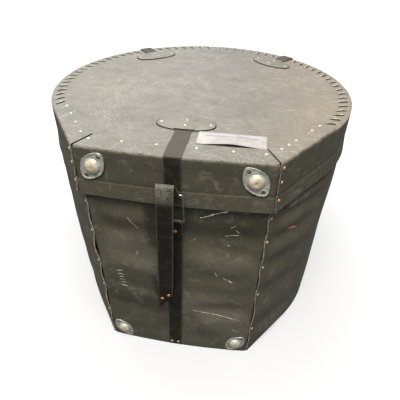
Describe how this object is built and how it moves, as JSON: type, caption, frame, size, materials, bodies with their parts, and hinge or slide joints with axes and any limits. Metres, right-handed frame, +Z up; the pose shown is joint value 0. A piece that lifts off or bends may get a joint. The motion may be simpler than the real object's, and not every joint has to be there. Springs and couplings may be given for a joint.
{
  "type": "timpani drum case",
  "caption": "Hard fibre carrying case for a kettledrum: flat-fronted round shell, telescoping lift-off lid, webbing straps with roller buckles, and domed steel glides.",
  "frame": {"origin": "centre of the round plan, on the underside of the bottom panel where the case stands on the floor", "axes": "+Z up through the lid, -Y out of the flat front face that carries the glides, +X to the right seen from the front"},
  "size_m": [0.8334, 0.8652, 0.6839],
  "materials": {
    "fibre": "worn, scuffed satin",
    "fibre_top": "worn satin with grey dust",
    "webbing": "matte woven",
    "zinc": "dull zinc plate",
    "dark_wire": "dark worn wire",
    "copper": "aged copper",
    "plywood": "raw birch plywood",
    "lace": "dark waxed lace",
    "plate": "satin, blank"
  },
  "bodies": {
    "body": {"body_side_wall": "fibre", "body_front_panel": "fibre", "body_bottom_panel": "fibre", "base_board": "plywood", "body_seam_rivets_left": "copper", "body_seam_rivets_right": "copper", "glide_bottom_left": "zinc", "glide_bottom_left_rivets": "zinc", "glide_bottom_right": "zinc", "glide_bottom_right_rivets": "zinc", "front_lower_strap": "webbing", "front_fold_rivet": "copper", "front_lower_rivets": "copper", "rear_right_lower_strap": "webbing", "rear_right_fold_rivet": "copper", "rear_right_lower_rivets": "copper", "rear_left_lower_strap": "webbing", "rear_left_fold_rivet": "copper", "rear_left_lower_rivets": "copper"},
    "lid": {"lid_top_panel": "fibre_top", "lid_front_band": "fibre", "lid_side_band": "fibre", "lid_lacing": "lace", "lid_seam_rivets_left": "copper", "lid_seam_rivets_right": "copper", "lid_front_flange_rivets": "zinc", "lid_side_flange_rivets_left": "zinc", "lid_side_flange_rivets_right": "zinc", "glide_lid_left": "zinc", "glide_lid_left_rivets": "zinc", "glide_lid_right": "zinc", "glide_lid_right_rivets": "zinc", "nameplate": "plate", "nameplate_rivets": "zinc", "front_upper_strap": "webbing", "front_anchor_plate": "fibre", "front_anchor_rivets": "zinc", "rear_right_upper_strap": "webbing", "rear_right_anchor_plate": "fibre", "rear_right_anchor_rivets": "zinc", "rear_left_upper_strap": "webbing", "rear_left_anchor_plate": "fibre", "rear_left_anchor_rivets": "zinc"},
    "front_tail_end": {"front_tail": "webbing", "front_tail_rivets": "copper"},
    "front_buckle": {"front_buckle_frame": "dark_wire", "front_strap_loop": "webbing"},
    "front_roller_tube": {"front_roller": "zinc"},
    "rear_right_tail_end": {"rear_right_tail": "webbing", "rear_right_tail_rivets": "copper"},
    "rear_right_buckle": {"rear_right_buckle_frame": "dark_wire", "rear_right_strap_loop": "webbing"},
    "rear_right_roller_tube": {"rear_right_roller": "zinc"},
    "rear_left_tail_end": {"rear_left_tail": "webbing", "rear_left_tail_rivets": "copper"},
    "rear_left_buckle": {"rear_left_buckle_frame": "dark_wire", "rear_left_strap_loop": "webbing"},
    "rear_left_roller_tube": {"rear_left_roller": "zinc"}
  },
  "joints": [
    {"name": "lid_lift", "type": "slide", "parent": "body", "child": "lid", "axis": [0, 0, 1], "range_m": [0, 0.15]},
    {"name": "front_tail_swing", "type": "hinge", "parent": "lid", "child": "front_tail_end", "pos_m": [0.002, -0.441, 0.622], "axis": [-1, 0, 0], "range_deg": [0, 75]},
    {"name": "front_buckle_swing", "type": "hinge", "parent": "body", "child": "front_buckle", "pos_m": [0.002, -0.4205, 0.518], "axis": [1, 0, 0], "range_deg": [0, 15]},
    {"name": "front_roller_spin", "type": "hinge", "parent": "front_buckle", "child": "front_roller_tube", "pos_m": [0.002, -0.429, 0.598], "axis": [1, 0, 0], "continuous": true},
    {"name": "rear_right_tail_swing", "type": "hinge", "parent": "lid", "child": "rear_right_tail_end", "pos_m": [0.27204, 0.342, 0.622], "axis": [0.7826, -0.6225, 0], "range_deg": [0, 75]},
    {"name": "rear_right_buckle_swing", "type": "hinge", "parent": "body", "child": "rear_right_buckle", "pos_m": [0.25928, 0.32596, 0.518], "axis": [-0.7826, 0.6225, 0], "range_deg": [0, 15]},
    {"name": "rear_right_roller_spin", "type": "hinge", "parent": "rear_right_buckle", "child": "rear_right_roller_tube", "pos_m": [0.26457, 0.33261, 0.598], "axis": [-0.7826, 0.6225, 0], "continuous": true},
    {"name": "rear_left_tail_swing", "type": "hinge", "parent": "lid", "child": "rear_left_tail_end", "pos_m": [-0.27204, 0.342, 0.622], "axis": [0.7826, 0.6225, 0], "range_deg": [0, 75]},
    {"name": "rear_left_buckle_swing", "type": "hinge", "parent": "body", "child": "rear_left_buckle", "pos_m": [-0.25928, 0.32596, 0.518], "axis": [-0.7826, -0.6225, 0], "range_deg": [0, 15]},
    {"name": "rear_left_roller_spin", "type": "hinge", "parent": "rear_left_buckle", "child": "rear_left_roller_tube", "pos_m": [-0.26457, 0.33261, 0.598], "axis": [-0.7826, -0.6225, 0], "continuous": true}
  ],
  "couplings": [
    {"joint": "front_buckle_swing", "follows": "front_tail_swing", "ratio": 0.2},
    {"joint": "rear_right_buckle_swing", "follows": "rear_right_tail_swing", "ratio": 0.2},
    {"joint": "rear_left_buckle_swing", "follows": "rear_left_tail_swing", "ratio": 0.2}
  ]
}
